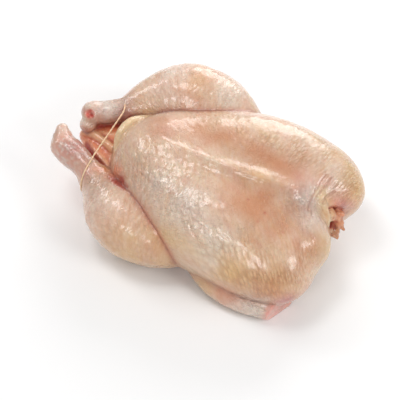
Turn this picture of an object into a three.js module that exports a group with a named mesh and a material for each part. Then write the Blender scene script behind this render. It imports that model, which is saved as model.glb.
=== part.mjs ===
// A whole raw chicken lying on its back, its legs tied with a thin elastic loop.
// Lengths are in millimetres. X runs from the tail to the neck, Y across the bird and Z up.
//
// The bird is described as a field: a function that gives, for any point, its distance from the skin,
// negative inside the flesh. Soft parts blend into each other as flesh does under one skin, and a net
// laid over the points where the field is zero gives one closed solid.
import * as THREE from "three";

// Driving dimensions
const TRUNK_LENGTH = 210;
const TRUNK_WIDTH = 150;
const TRUNK_DEPTH = 100;
const ROLL_DEG = 10; // the bird lies rolled a little onto its near side
const SHANK_RADIUS = 12;
const CALF_RADIUS = 31;
const WING_RADIUS = 13;
const FLOOR_LEVEL = 4; // the soft back is pressed flat at this height
const TIE_RADIUS = 0.8;
const TIE_GAP = 0.6; // clearance between the loop and the skin

// Size of the net's cells
const NET_STEP = 5.5;
const NET_BOX = new THREE.Box3(
  new THREE.Vector3(-168, -112, -4),
  new THREE.Vector3(136, 118, 122),
);

// Blending radii: a small one leaves a crease, a large one hides the join
const FLESH = 20;
const JOINT = 14;
const CREASE = 4.5;
const FLOOR_EDGE = 1;

const clamp01 = (t) => Math.min(1, Math.max(0, t));

// Joins two fields into one body, rounded over the blending radius.
function blend(a, b, radius) {
  const share = clamp01(0.5 + (0.5 * (b - a)) / radius);
  return b + (a - b) * share - radius * share * (1 - share);
}

// Takes the second field out of the first.
const carve = (a, b, radius) => -blend(-a, b, radius);

// An egg-shaped lump of flesh, turned by yaw degrees about Z.
function egg([x, y, z], [rx, ry, rz], yaw = 0) {
  const turn = THREE.MathUtils.degToRad(yaw);
  const c = Math.cos(turn);
  const s = Math.sin(turn);
  return (p) => {
    const dx = p.x - x;
    const dy = p.y - y;
    const qx = (c * dx + s * dy) / rx;
    const qy = (c * dy - s * dx) / ry;
    const qz = (p.z - z) / rz;
    const near = Math.hypot(qx, qy, qz) + 1e-9;
    const slope = Math.hypot(qx / rx, qy / ry, qz / rz) + 1e-9;
    return (near * (near - 1)) / slope;
  };
}

// A limb: a soft tube through stations of [x, y, z, radius].
function limb(stations) {
  const steps = (stations.length - 1) * 4;
  const through = (points) => new THREE.CatmullRomCurve3(points, false, "catmullrom");
  const line = through(stations.map(([x, y, z]) => new THREE.Vector3(x, y, z)));
  const girth = through(stations.map((station) => new THREE.Vector3(station[3], 0, 0)));
  const centres = [];
  const radii = [];
  for (let i = 0; i <= steps; i++) {
    centres.push(line.getPoint(i / steps));
    radii.push(girth.getPoint(i / steps).x);
  }
  const bone = new THREE.Vector3();
  const offset = new THREE.Vector3();
  return (p) => {
    let nearest = Infinity;
    for (let i = 0; i < steps; i++) {
      bone.subVectors(centres[i + 1], centres[i]);
      offset.subVectors(p, centres[i]);
      const t = clamp01(offset.dot(bone) / bone.lengthSq());
      offset.addScaledVector(bone, -t);
      nearest = Math.min(nearest, offset.length() - radii[i] - t * (radii[i + 1] - radii[i]));
    }
    return nearest;
  };
}

// Breast, back, shoulders and upper wings, in the bird's own upright frame. Places and radii of
// the big lumps are shares of the trunk's length, width and depth.
function trunk() {
  const part = (place, radii, yaw) =>
    egg(
      [place[0] * TRUNK_LENGTH, place[1] * TRUNK_WIDTH, place[2] * TRUNK_DEPTH],
      [radii[0] * TRUNK_LENGTH, radii[1] * TRUNK_WIDTH, radii[2] * TRUNK_DEPTH],
      yaw,
    );
  const breastHalf = part([0.05, 0.2, 0.56], [0.45, 0.315, 0.46], 5);
  const breastMiddle = part([-0.03, 0.01, 0.58], [0.4, 0.2, 0.41]);
  const back = part([0, 0, 0.4], [0.495, 0.425, 0.38]);
  const tailEnd = part([-0.265, 0.02, 0.66], [0.185, 0.25, 0.38]);
  const breastFront = part([0.27, 0.03, 0.56], [0.2, 0.2, 0.37]);
  const farShoulder = part([0.405, 0.27, 0.54], [0.187, 0.205, 0.315]);
  const farBreastSide = part([0.2, 0.36, 0.62], [0.26, 0.16, 0.3]);
  const nearShoulder = part([0.352, -0.307, 0.5], [0.172, 0.213, 0.34]);
  const nearNeckSide = part([0.42, -0.133, 0.56], [0.133, 0.147, 0.26]);
  const keel = limb([
    [-74, 0, 90, 3],
    [-46, 0, 98, 3],
    [0, 1, 97.5, 3],
    [45, 4, 96, 3],
    [70, 6, 88, 3],
  ]);
  const nearUpperWing = limb([
    [84, -55, 53, 24],
    [50, -62, 52, 22],
    [20, -56, 44, 15],
  ]);
  const farUpperWing = limb([
    [84, 52, 51, 20],
    [50, 63, 50, 22],
    [16, 57, 42, 15],
  ]);
  const neckNotch = limb([
    [150, 15, 54, 18],
    [119, 14, 55, 9],
    [105, 13, 61, 5],
  ]);
  const neckStump = limb([
    [80, 10, 44, 22],
    [98, 14, 46, 15],
    [108, 14, 46, 9],
  ]);
  return (p) => {
    const folded = new THREE.Vector3(p.x, Math.abs(p.y), p.z);
    let d = blend(breastHalf(folded), back(p), FLESH * 1.3);
    d = blend(d, tailEnd(p), FLESH * 1.2);
    d = blend(d, breastMiddle(p), FLESH * 0.8);
    d = blend(d, breastFront(p), FLESH * 0.8);
    d = blend(d, farBreastSide(p), FLESH);
    d = blend(d, farShoulder(p), FLESH * 0.8);
    d = blend(d, nearShoulder(p), FLESH * 0.8);
    d = blend(d, nearNeckSide(p), JOINT);
    d = blend(d, keel(p), JOINT * 0.65);
    d = blend(d, nearUpperWing(p), JOINT);
    d = blend(d, farUpperWing(p), JOINT);
    d = carve(d, neckNotch(p), JOINT * 0.65);
    return blend(d, neckStump(p), CREASE);
  };
}

// The leg on the near side, pressed against the floor: knuckle, shank, calf, knee and thigh.
function nearLeg() {
  const drumstick = limb([
    [-145, -30, 65, SHANK_RADIUS - 1],
    [-137, -31, 63, SHANK_RADIUS + 1],
    [-117, -39, 59.5, SHANK_RADIUS - 0.5],
    [-94, -50, 51, 19],
    [-68, -65, 43, CALF_RADIUS],
    [-42, -69, 38, CALF_RADIUS - 2.5],
    [-22, -64, 36, 23],
  ]);
  const knuckle = egg([-149, -22, 68], [9, 9, 9]);
  const thigh = egg([-32, -52, 34], [40, 34, 33]);
  return (p) => blend(blend(drumstick(p), knuckle(p), 4), thigh(p), JOINT);
}

// The leg on the far side, raised and spread a little more.
function farLeg() {
  const drumstick = limb([
    [-131, 14, 75, SHANK_RADIUS - 2],
    [-122, 18, 75, SHANK_RADIUS - 1.5],
    [-108, 30, 74, SHANK_RADIUS],
    [-90, 48, 75, 22],
    [-64, 64, 77, CALF_RADIUS],
    [-34, 67, 75, CALF_RADIUS - 2],
    [-4, 58, 69, 20],
  ]);
  const upperKnuckle = egg([-135, 10, 77], [10, 10, 10]);
  const lowerKnuckle = egg([-136, 3, 67], [7.5, 7.5, 7.5]);
  const thigh = egg([-35, 52, 50], [46, 32, 38]);
  return (p) => {
    const shank = blend(drumstick(p), upperKnuckle(p), 4);
    return blend(blend(shank, lowerKnuckle(p), CREASE), thigh(p), JOINT);
  };
}

// A forearm lies along the bird's side, below the upper wing, and is cut off square at the wrist.
function forearm(stations, cutAt, cutFacing) {
  const limbField = limb(stations);
  const at = new THREE.Vector3(...cutAt);
  const facing = new THREE.Vector3(...cutFacing).normalize();
  return (p) => carve(limbField(p), -p.clone().sub(at).dot(facing), 2);
}

// The near forearm rests on the floor.
const nearWing = forearm(
  [
    [10, -66, 19, WING_RADIUS],
    [30, -77, 17.5, WING_RADIUS + 1.5],
    [52, -81, 16.5, WING_RADIUS + 1.5],
    [76, -79.5, 15.5, WING_RADIUS + 1.5],
    [108, -75, 14, WING_RADIUS + 1],
  ],
  [93, -76, 14],
  [0.9, -0.42, -0.1],
);

// The far forearm is tucked against the bird's side, so it is placed in the bird's own frame.
const farWing = forearm(
  [
    [14, 56, 30, WING_RADIUS - 2],
    [44, 69, 27, WING_RADIUS],
    [76, 71, 26, WING_RADIUS + 1],
    [100, 64, 24, WING_RADIUS],
  ],
  [92, 66, 25],
  [0.9, 0.42, -0.1],
);

// The tail and the skin on each side of it, under the breast's edge.
function tail() {
  const farFold = limb([
    [-138, 1, 54, 5],
    [-120, 4, 57, 8],
    [-94, 10, 57, 13],
  ]);
  const nearFold = limb([
    [-138, 2, 49, 5],
    [-119, -12, 50, 10],
    [-84, -24, 42, 18],
  ]);
  const root = egg([-98, -6, 46], [34, 24, 17]);
  return (p) => blend(blend(farFold(p), nearFold(p), 8), root(p), 8);
}

// The thick edge of skin where the breast ends over the tail.
const breastEdge = limb([
  [-80, 26, 76, 4.5],
  [-93, 10, 82, 5],
  [-97, -5, 80, 4.5],
  [-96, -14, 70, 4.5],
  [-90, -23, 58, 5],
  [-76, -36, 46, 5],
]);

// The soft back spreads where it bears the bird's weight.
const restingBack = egg([10, 8, 32], [85, 48, 31]);

// The whole bird's field.
function birdField() {
  const upright = new THREE.Matrix4().makeRotationX(-THREE.MathUtils.degToRad(ROLL_DEG));
  const inTrunk = trunk();
  const creased = [nearLeg(), farLeg(), nearWing, tail()];
  return (p) => {
    const own = p.clone().applyMatrix4(upright);
    let d = blend(inTrunk(own), restingBack(p), JOINT);
    d = blend(d, breastEdge(p), CREASE);
    for (const part of creased) {
      d = blend(d, part(p), CREASE);
    }
    d = blend(d, farWing(own), CREASE);
    return carve(d, p.z - FLOOR_LEVEL, FLOOR_EDGE);
  };
}

// Slides a point along the field's slope on to the skin. Each step is short, so that a point down in
// a crease stays there.
function settle(field, point) {
  const rounds = 3;
  const reach = 0.4;
  const longestStep = 0.8;
  const axes = ["x", "y", "z"];
  const slope = new THREE.Vector3();
  for (let round = 0; round < rounds; round++) {
    for (const axis of axes) {
      const ahead = point.clone();
      const behind = point.clone();
      ahead[axis] += reach;
      behind[axis] -= reach;
      slope[axis] = (field(ahead) - field(behind)) / (2 * reach);
    }
    const distance = field(point) / slope.length();
    point.addScaledVector(slope.normalize(), -THREE.MathUtils.clamp(distance, -longestStep, longestStep));
  }
  return point;
}

// Lays a net of four-sided cells over the field's zero surface. Each grid cube that the surface
// crosses gets one knot, and each grid edge that it crosses gets one four-sided face.
function netOver(field, box, step) {
  const size = box.getSize(new THREE.Vector3());
  const count = ["x", "y", "z"].map((axis) => Math.ceil(size[axis] / step) + 1);
  const stride = [count[1] * count[2], count[2], 1];
  const index = (cell) => cell[0] * stride[0] + cell[1] * stride[1] + cell[2];
  const gridPoint = (cell) =>
    new THREE.Vector3(...cell).multiplyScalar(step).add(box.min);
  const cellsOf = function* (first) {
    for (let i = first; i < count[0] - 1; i++) {
      for (let j = first; j < count[1] - 1; j++) {
        for (let k = first; k < count[2] - 1; k++) yield [i, j, k];
      }
    }
  };

  const value = new Float64Array(count[0] * stride[0]);
  for (let i = 0; i < count[0]; i++) {
    for (let j = 0; j < count[1]; j++) {
      for (let k = 0; k < count[2]; k++) value[index([i, j, k])] = field(gridPoint([i, j, k]));
    }
  }

  // Air is what can be reached from the first corner. A pocket that it can't reach is flesh.
  const air = new Uint8Array(value.length);
  const waiting = [0];
  air[0] = 1;
  while (waiting.length) {
    const here = waiting.pop();
    for (const way of [...stride, ...stride.map((s) => -s)]) {
      const next = here + way;
      if (next < 0 || next >= value.length || air[next] || value[next] < 0) continue;
      air[next] = 1;
      waiting.push(next);
    }
  }
  value.forEach((v, n) => {
    if (v >= 0 && !air[n]) value[n] = -step / 2;
  });

  // Where two folds of skin meet inside one cube, the net would pinch to an edge or a point there.
  // The cube's least airy corners go to the flesh until its flesh and its air each hold together.
  const corners = [0, 1, 2, 3, 4, 5, 6, 7].map((n) => [n & 1, (n >> 1) & 1, n >> 2]);
  const allCorners = 255;
  const holdsTogether = (set) => {
    let reached = set & -set;
    for (let before = 0; before !== reached; ) {
      before = reached;
      for (let n = 0; n < corners.length; n++) {
        const besides = (1 << (n ^ 1)) | (1 << (n ^ 2)) | (1 << (n ^ 4));
        if ((before >> n) & 1) reached |= set & besides;
      }
    }
    return reached === set;
  };
  for (let mended = true; mended; ) {
    mended = false;
    for (const cell of cellsOf(0)) {
      const around = corners.map((corner) => index(cell.map((v, n) => v + corner[n])));
      const flesh = around.reduce((set, here, n) => set | ((value[here] < 0) << n), 0);
      if (holdsTogether(flesh) && holdsTogether(allCorners & ~flesh)) continue;
      const airy = around.filter((here) => value[here] >= 0);
      const least = airy.reduce((a, b) => (value[b] < value[a] ? b : a));
      value[least] = -step / 1000;
      mended = true;
    }
  }

  const edges = [];
  for (const a of corners) {
    for (let axis = 0; axis < 3; axis++) {
      if (a[axis] === 0) edges.push([a, a.map((v, n) => (n === axis ? 1 : v))]);
    }
  }

  const knotOf = new Map();
  const positions = [];
  for (const cell of cellsOf(0)) {
    const sum = new THREE.Vector3();
    let crossings = 0;
    for (const [a, b] of edges) {
      const start = cell.map((v, n) => v + a[n]);
      const end = cell.map((v, n) => v + b[n]);
      const atStart = value[index(start)];
      const atEnd = value[index(end)];
      if (atStart < 0 === atEnd < 0) continue;
      sum.add(gridPoint(start).lerp(gridPoint(end), atStart / (atStart - atEnd)));
      crossings++;
    }
    if (!crossings) continue;
    knotOf.set(index(cell), positions.length / 3);
    const knot = settle(field, sum.divideScalar(crossings));
    const onFloor = knot.z < FLOOR_LEVEL + FLOOR_EDGE / 3;
    positions.push(knot.x, knot.y, onFloor ? FLOOR_LEVEL : knot.z);
  }

  const triangles = [];
  for (const cell of cellsOf(1)) {
    for (let axis = 0; axis < 3; axis++) {
      const inside = value[index(cell)] < 0;
      if (inside === value[index(cell) + stride[axis]] < 0) continue;
      const u = stride[(axis + 1) % 3];
      const v = stride[(axis + 2) % 3];
      const here = index(cell);
      const ring = [here - u - v, here - v, here, here - u].map((at) => knotOf.get(at));
      if (!inside) ring.reverse();
      triangles.push(ring[0], ring[1], ring[2], ring[0], ring[2], ring[3]);
    }
  }

  const geometry = new THREE.BufferGeometry();
  geometry.setAttribute("position", new THREE.Float32BufferAttribute(positions, 3));
  geometry.setIndex(triangles);
  geometry.computeVertexNormals();
  return geometry;
}

// The points of a flat loop that lie on its convex outline, in order.
function convexOutline(points) {
  const sorted = [...points].sort((a, b) => a.x - b.x || a.y - b.y);
  const turn = (o, a, b) => (a.x - o.x) * (b.y - o.y) - (a.y - o.y) * (b.x - o.x);
  const half = (list) => {
    const chain = [];
    for (const p of list) {
      while (chain.length > 1 && turn(chain.at(-2), chain.at(-1), p) <= 0) chain.pop();
      chain.push(p);
    }
    return chain.slice(0, -1);
  };
  return [...half(sorted), ...half(sorted.reverse())];
}

// The elastic loop round both shanks and the tail. It is taut, so seen from the tail it follows the
// convex outline of what it holds, just clear of the skin. Past the far shank it bends back, to cross
// that shank squarely.
function legTie(field) {
  const crossingX = -107;
  const slant = 0.1;
  const bendY = 20;
  const bendSlope = 0.85;
  const middle = new THREE.Vector2(-8, 58);
  const reachStart = 70;
  const reachStep = 0.2;
  const rays = 180;
  const sections = 84;
  const onRoute = ({ x: y, y: z }) =>
    new THREE.Vector3(crossingX + slant * y - bendSlope * Math.max(0, y - bendY), y, z);
  const held = [];
  for (let n = 0; n < rays; n++) {
    const ray = new THREE.Vector2(1, 0).rotateAround(new THREE.Vector2(), (n / rays) * 2 * Math.PI);
    const at = (reach) => middle.clone().addScaledVector(ray, reach);
    let reach = reachStart;
    while (field(onRoute(at(reach))) > TIE_RADIUS + TIE_GAP) reach -= reachStep;
    held.push(at(reach));
  }
  const outline = convexOutline(held);
  const loop = new THREE.Path([...outline, outline[0]]).getSpacedPoints(sections).slice(0, -1);
  const route = new THREE.CatmullRomCurve3(loop.map(onRoute), true);
  return new THREE.TubeGeometry(route, sections, TIE_RADIUS, 6, true);
}

const skin = new THREE.MeshStandardMaterial({ color: 0xe6bf9f, roughness: 0.38, metalness: 0 });
const elastic = new THREE.MeshStandardMaterial({ color: 0xe8b98c, roughness: 0.6, metalness: 0 });

const field = birdField();
const chicken = new THREE.Mesh(netOver(field, NET_BOX, NET_STEP), skin);
chicken.name = "chicken";
const tie = new THREE.Mesh(legTie(field), elastic);
tie.name = "leg_tie";

// The origin is under the middle of the bird, on the surface that it lies on.
const part = new THREE.Group();
part.add(chicken, tie);
const extent = new THREE.Box3().setFromObject(part);
const middle = extent.getCenter(new THREE.Vector3());
part.position.set(-middle.x, -middle.y, -extent.min.z);

export default part;
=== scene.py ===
# %% [markdown]
# # A whole raw chicken
# The bird lies on its back with its legs drawn together by a thin elastic loop. Its flesh is one soft
# body under one skin, so this lesson makes it as one field of distances rather than from many meshes.
# It then wrinkles the skin, colours it by where fat, flesh and blood show through, and lights it softly.

# %% Tools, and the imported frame
import math

import bpy
import numpy as np
from mathutils import Matrix, Vector


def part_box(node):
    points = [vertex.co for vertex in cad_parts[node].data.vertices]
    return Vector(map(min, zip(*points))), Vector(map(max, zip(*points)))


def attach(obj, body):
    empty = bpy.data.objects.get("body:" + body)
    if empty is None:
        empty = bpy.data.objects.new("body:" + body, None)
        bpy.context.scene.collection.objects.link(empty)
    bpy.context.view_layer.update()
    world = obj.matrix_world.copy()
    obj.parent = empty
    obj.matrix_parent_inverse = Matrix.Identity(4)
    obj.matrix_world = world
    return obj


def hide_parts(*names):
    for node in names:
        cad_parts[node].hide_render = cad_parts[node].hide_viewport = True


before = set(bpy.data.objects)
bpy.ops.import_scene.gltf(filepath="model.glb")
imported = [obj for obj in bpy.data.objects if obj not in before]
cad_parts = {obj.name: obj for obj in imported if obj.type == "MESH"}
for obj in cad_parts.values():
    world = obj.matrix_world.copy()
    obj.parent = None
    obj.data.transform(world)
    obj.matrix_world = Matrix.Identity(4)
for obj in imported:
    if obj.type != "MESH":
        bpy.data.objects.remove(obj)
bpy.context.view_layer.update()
MM = 0.001

# %% [markdown]
# ## The camera
# The photograph looks down at the bird from 50 degrees above its side, through a long lens. The drawing
# of the bird is in millimetres in its own axes, and the middle of the picture looks at one point of it.

# %% The view of the photograph
PICTURE_SIDE = 400
AZIMUTH = math.radians(25)
ELEVATION = math.radians(50)
FOCAL_PIXELS = 1450
MM_PER_PIXEL = 0.9
SENSOR_MM = 36
LOOK_AT = np.array([-12.0, -19.4, 45.0])

camera_right = np.array([math.cos(AZIMUTH), math.sin(AZIMUTH), 0.0])
camera_back = np.array([
    math.sin(AZIMUTH) * math.cos(ELEVATION),
    -math.cos(AZIMUTH) * math.cos(ELEVATION),
    math.sin(ELEVATION),
])
camera_up = np.cross(camera_back, camera_right)
camera_distance = FOCAL_PIXELS * MM_PER_PIXEL
print("camera distance in mm:", camera_distance)

# %% [markdown]
# ## Fields of distance
# Flesh has no edges: a thigh runs into the body under one skin. A field gives, for any point, its
# distance from the skin, negative inside. Two fields blend into one over a radius, so a large radius
# hides a join and a small one leaves a crease. Each function here takes many points at once.

# %% Blends, eggs and limbs
FLESH = 20.0
JOINT = 14.0
CREASE = 2.6


def blend(a, b, radius):
    share = np.clip(0.5 + 0.5 * (b - a) / radius, 0, 1)
    return b + (a - b) * share - radius * share * (1 - share)


def blend_all(d, shapes, p, radius):
    for shape in shapes:
        d = blend(d, shape(p), radius)
    return d


def carve(a, b, radius):
    return -blend(-a, b, radius)


def unit(v):
    v = np.asarray(v, float)
    return v / np.linalg.norm(v)


def egg(centre, radii, yaw=0.0):
    turn = math.radians(yaw)
    c, s = math.cos(turn), math.sin(turn)
    spin = np.array([[c, -s, 0], [s, c, 0], [0, 0, 1]])
    radii = np.asarray(radii, float)

    def distance(p):
        q = (p - centre) @ spin / radii
        near = np.linalg.norm(q, axis=-1) + 1e-9
        slope = np.linalg.norm(q / radii, axis=-1) + 1e-9
        return near * (near - 1) / slope

    return distance


def curve_through(points, steps):
    """A smooth curve through all of the points but the first and last, which only set its ends' direction."""
    out = []
    for a, b, c, d in zip(points, points[1:], points[2:], points[3:]):
        for t in np.arange(steps) / steps:
            bend = (2 * a - 5 * b + 4 * c - d) * t**2 + (3 * b - a - 3 * c + d) * t**3
            out.append((2 * b + (c - a) * t + bend) / 2)
    return np.array(out)


def spline(points, steps):
    points = np.asarray(points, float)
    before = 2 * points[0] - points[1]
    after = 2 * points[-1] - points[-2]
    curve = curve_through(np.vstack([before, points, after]), steps)
    return np.vstack([curve, points[-1]])


def limb(stations, steps=5):
    rows = spline(stations, steps)
    centres, radii = rows[:, :3], rows[:, 3]

    def distance(p):
        nearest = np.full(p.shape[:-1], np.inf)
        for a, b, ra, rb in zip(centres, centres[1:], radii, radii[1:]):
            bone = b - a
            offset = p - a
            t = np.clip(offset @ bone / (bone @ bone), 0, 1)
            gap = offset - t[..., None] * bone
            length = np.sqrt((gap * gap).sum(-1))
            nearest = np.minimum(nearest, length - ra - t * (rb - ra))
        return nearest

    return distance


print("blend radii in mm:", FLESH, "flesh,", JOINT, "joint,", CREASE, "crease_shade")

# %% [markdown]
# ## The trunk
# Breast, back, shoulders and upper wings are drawn as if the bird lay upright, and the whole trunk is
# then rolled ten degrees on to its near side. Big lumps are shares of the trunk's length, width and depth,
# as in the CAD model, which this mesh follows so that it stands exactly in its place.

# %% Breast, back, shoulders and upper wings
TRUNK = np.array([210.0, 150.0, 100.0])
ROLL = math.radians(10)
ROLL_MATRIX = np.array([
    [1, 0, 0],
    [0, math.cos(ROLL), -math.sin(ROLL)],
    [0, math.sin(ROLL), math.cos(ROLL)],
])


def lump(place, radii, yaw=0.0):
    return egg(np.array(place) * TRUNK, np.array(radii) * TRUNK, yaw)


breast_half = lump([0.05, 0.2, 0.56], [0.45, 0.315, 0.46], 5)
breast_middle = lump([-0.03, 0.01, 0.58], [0.4, 0.2, 0.41])
back = lump([0, 0, 0.4], [0.495, 0.425, 0.38])
tail_end = lump([-0.265, 0.02, 0.66], [0.185, 0.25, 0.38])
breast_front = lump([0.27, 0.03, 0.56], [0.2, 0.2, 0.37])
far_shoulder = lump([0.405, 0.27, 0.54], [0.187, 0.205, 0.315])
far_breast_side = lump([0.2, 0.36, 0.62], [0.26, 0.16, 0.3])
near_shoulder = lump([0.352, -0.307, 0.5], [0.172, 0.213, 0.34])
near_neck_side = lump([0.42, -0.133, 0.56], [0.133, 0.147, 0.26])
keel = limb([(-74, 0, 90, 3), (-46, 0, 98, 3), (0, 1, 97.5, 3), (45, 4, 96, 3), (70, 6, 88, 3)])
near_upper_wing = limb([(84, -55, 53, 24), (50, -62, 52, 22), (20, -56, 44, 15)])
far_upper_wing = limb([(84, 52, 51, 20), (50, 63, 50, 22), (16, 57, 42, 15)])
neck_notch = limb([(150, 15, 54, 18), (119, 14, 55, 9), (105, 13, 61, 5)])
neck_stump = limb([(80, 10, 44, 22), (97, 14, 46, 14), (104, 14, 46, 8)])

TRUNK_BLENDS = [
    (FLESH * 1.2, [tail_end]),
    (FLESH * 0.8, [breast_middle, breast_front]),
    (FLESH, [far_breast_side]),
    (FLESH * 0.8, [far_shoulder, near_shoulder]),
    (JOINT, [near_neck_side]),
    (JOINT * 0.65, [keel]),
    (JOINT, [near_upper_wing, far_upper_wing]),
]


def trunk(upright):
    folded = upright * [1, 0, 1] + np.abs(upright) * [0, 1, 0]
    d = blend(breast_half(folded), back(upright), FLESH * 1.3)
    for radius, shapes in TRUNK_BLENDS:
        d = blend_all(d, shapes, upright, radius)
    d = carve(d, neck_notch(upright), JOINT * 0.65)
    return blend(d, neck_stump(upright), CREASE)


print("trunk in mm, along, across and high:", TRUNK)

# %% [markdown]
# ## Legs, forearms and tail
# Each leg is one limb from knuckle to knee, with the thigh as an egg behind it. The marrow shows in a dish
# in the far knuckle. The forearms are cut off at the wrist, so a plane carves their ends.

# %% Legs
SHANK = 12.0
CALF = 31.0
KNUCKLE_BLEND = 4.0
EDGE_BLEND = 1.5
MARROW_WIDTH = 9.0
DISH_RADIUS = 4.6
DISH_OUT = 3.0
DISH_BLEND = 1.0
near_drumstick = limb([
    (-145, -30, 65, SHANK - 1), (-137, -31, 63, SHANK + 1), (-117, -39, 59.5, SHANK - 0.5),
    (-94, -50, 51, 19), (-68, -65, 43, CALF), (-42, -69, 38, CALF - 2.5), (-22, -64, 36, 23),
])
near_knuckle = egg((-149, -22, 68), (9, 9, 9))
near_thigh = egg((-32, -52, 34), (40, 34, 33))
far_drumstick = limb([
    (-131, 14, 75, SHANK - 2), (-122, 18, 75, SHANK - 1.5), (-108, 30, 74, SHANK), (-90, 48, 75, 22),
    (-64, 64, 77, CALF), (-34, 67, 75, CALF - 2), (-4, 58, 69, 20),
])
far_upper_knuckle = egg((-135, 10, 77), (10, 10, 10))
far_lower_knuckle = egg((-136, 3, 67), (7.5, 7.5, 7.5))
far_thigh = egg((-35, 52, 50), (46, 32, 38))
near_cartilage = egg((-152, -17, 72), (6, 6.5, 6))
marrow_at = np.array([-133.5, 3.4, 81.5])
marrow_facing = unit((0.1, -0.75, 0.6))
marrow_dish = egg(marrow_at + DISH_OUT * marrow_facing, 3 * [DISH_RADIUS])


def near_leg(p):
    shank = blend(near_drumstick(p), near_knuckle(p), KNUCKLE_BLEND)
    shank = blend(shank, near_cartilage(p), EDGE_BLEND)
    return blend(shank, near_thigh(p), JOINT)


def far_leg(p):
    shank = blend(far_drumstick(p), far_upper_knuckle(p), KNUCKLE_BLEND)
    shank = blend(shank, far_lower_knuckle(p), CREASE)
    shank = carve(shank, -(p - marrow_at) @ marrow_facing, EDGE_BLEND)
    shank = carve(shank, marrow_dish(p), DISH_BLEND)
    return blend(shank, far_thigh(p), JOINT)


print("shank and calf radii in mm:", SHANK, CALF)

# %% Forearms
WING = 13.0
NEAR_CUT = ((93, -76, 14), (0.9, -0.42, -0.1))
FAR_CUT = ((92, 66, 25), (0.9, 0.42, -0.1))


def forearm(stations, cut_at, cut_facing):
    whole = limb(stations)
    facing = unit(cut_facing)
    return lambda p: carve(whole(p), -(p - cut_at) @ facing, EDGE_BLEND)


near_wing = forearm(
    [
        (10, -66, 19, WING), (30, -77, 17.5, WING + 1.5), (52, -81, 16.5, WING + 1.5),
        (76, -79.5, 15.5, WING + 1.5), (108, -75, 14, WING + 1),
    ],
    *NEAR_CUT,
)
far_wing = forearm(
    [
        (14, 56, 30, WING - 2), (44, 69, 27, WING), (76, 71, 26, WING + 1), (100, 64, 24, WING),
    ],
    *FAR_CUT,
)
print("near forearm cut off at", NEAR_CUT[0])

# %% Tail, the edge of the breast skin and the resting face
TAIL_BLEND = 8.0
WEB_BLEND = 3.0
RIDGE_BLEND = 3.0
FLOOR_LEVEL = 4.0
FLOOR_EDGE = 1.0
far_fold = limb([(-138, 1, 54, 5), (-120, 4, 57, 8), (-94, 10, 57, 13)])
near_fold = limb([(-138, 2, 49, 5), (-119, -12, 50, 10), (-84, -24, 42, 18)])
tail_root = egg((-98, -6, 46), (34, 24, 17))
breast_edge = limb([
    (-80, 26, 76, 4.5), (-93, 10, 82, 5), (-97, -5, 80, 4.5), (-96, -14, 70, 4.5), (-90, -23, 58, 5),
    (-76, -36, 46, 5),
])
resting_back = egg((10, 8, 32), (85, 48, 31))
leg_web = limb([(-88, 28, 55, 12), (-106, 21, 57, 9), (-124, 12, 60, 6.5), (-131, 7, 63, 5.5)])
TAIL_RIDGES = [
    limb([(-139, -1, 56, 2.5), (-130, -1, 61, 3), (-117, -6, 63.5, 3), (-102, -13, 65, 3.5)]),
    limb([(-134, 1, 57, 1.5), (-124, 1, 61.5, 2), (-112, 2, 64, 2), (-102, 3, 66, 2)]),
    limb([(-136, -4, 52, 2.5), (-124, -13, 56, 3), (-108, -24, 58, 3), (-96, -30, 58, 3)]),
]


def tail(p):
    whole = blend_all(far_fold(p), [near_fold, tail_root], p, TAIL_BLEND)
    whole = blend(whole, leg_web(p), WEB_BLEND)
    return blend_all(whole, TAIL_RIDGES, p, RIDGE_BLEND)


print("tail has", len(TAIL_RIDGES), "ridges")

# %% [markdown]
# ## The neck opening and the pits
# Where the neck was cut off, a few soft lumps and shreds of flesh stick out round a small dark hole,
# and the skin ends there in a thick, wavy, rolled edge. Deep pits go in where leg and breast part.

# %% Neck flesh, skin edge and pits
SKIN_EDGE_BLEND = 2.0
LUMP_BLEND = 1.6
PIT_BLEND = 2.5
NECK_FLESH = [
    egg((104, 0, 62), (6, 6, 8)),
    egg((108, 6, 57), (6, 7, 6)),
    egg((111, 4, 51), (5.5, 5, 6)),
    egg((109, -1, 44), (6, 5, 6)),
    egg((105, -5, 50), (5, 4.5, 7)),
]
NECK_SHREDS = [
    limb([(110, 4, 50, 3), (115, 4, 48, 2.2), (118, 2.5, 46, 1.2)]),
    limb([(109, -1, 44, 3), (113, -3, 42, 2), (115, -4, 40, 1.2)]),
    limb([(108, 8, 60, 3), (113, 8, 60, 2), (115, 9, 58, 1.2)]),
]
neck_hole = limb([(114, -9, 58, 2.6), (106, -3, 55, 2.2), (98, 2, 52, 1.5)])
neck_skin_edge = limb([
    (94, 3, 82, 2), (100, -3, 75, 2.4), (105, -7, 66, 2.2), (106, -11, 56, 2.6), (109, -15, 48, 2.2),
    (109, -23, 43, 2.6), (111, -33, 40, 2.2), (110, -44, 39, 2),
])
PITS = [
    limb([(-90, -44, 74, 2), (-80, -51, 75, 3), (-68, -57, 76, 1.5)]),
    limb([(-132, -14, 58, 2.5), (-118, -25, 59, 2.5), (-104, -33, 61, 2.5)]),
]


def bird_field(p):
    upright = p @ ROLL_MATRIX
    d = blend(trunk(upright), resting_back(p), JOINT)
    d = blend_all(d, [breast_edge, near_leg, far_leg, near_wing, tail], p, CREASE)
    d = blend(d, far_wing(upright), CREASE)
    d = blend(d, neck_skin_edge(p), SKIN_EDGE_BLEND)
    d = blend_all(d, NECK_FLESH + NECK_SHREDS, p, LUMP_BLEND)
    for pit in [*PITS, neck_hole]:
        d = carve(d, pit(p), PIT_BLEND)
    return carve(d, p[..., 2] - FLOOR_LEVEL, FLOOR_EDGE)


print("neck has", len(NECK_FLESH), "lumps and", len(NECK_SHREDS), "shreds")

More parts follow.
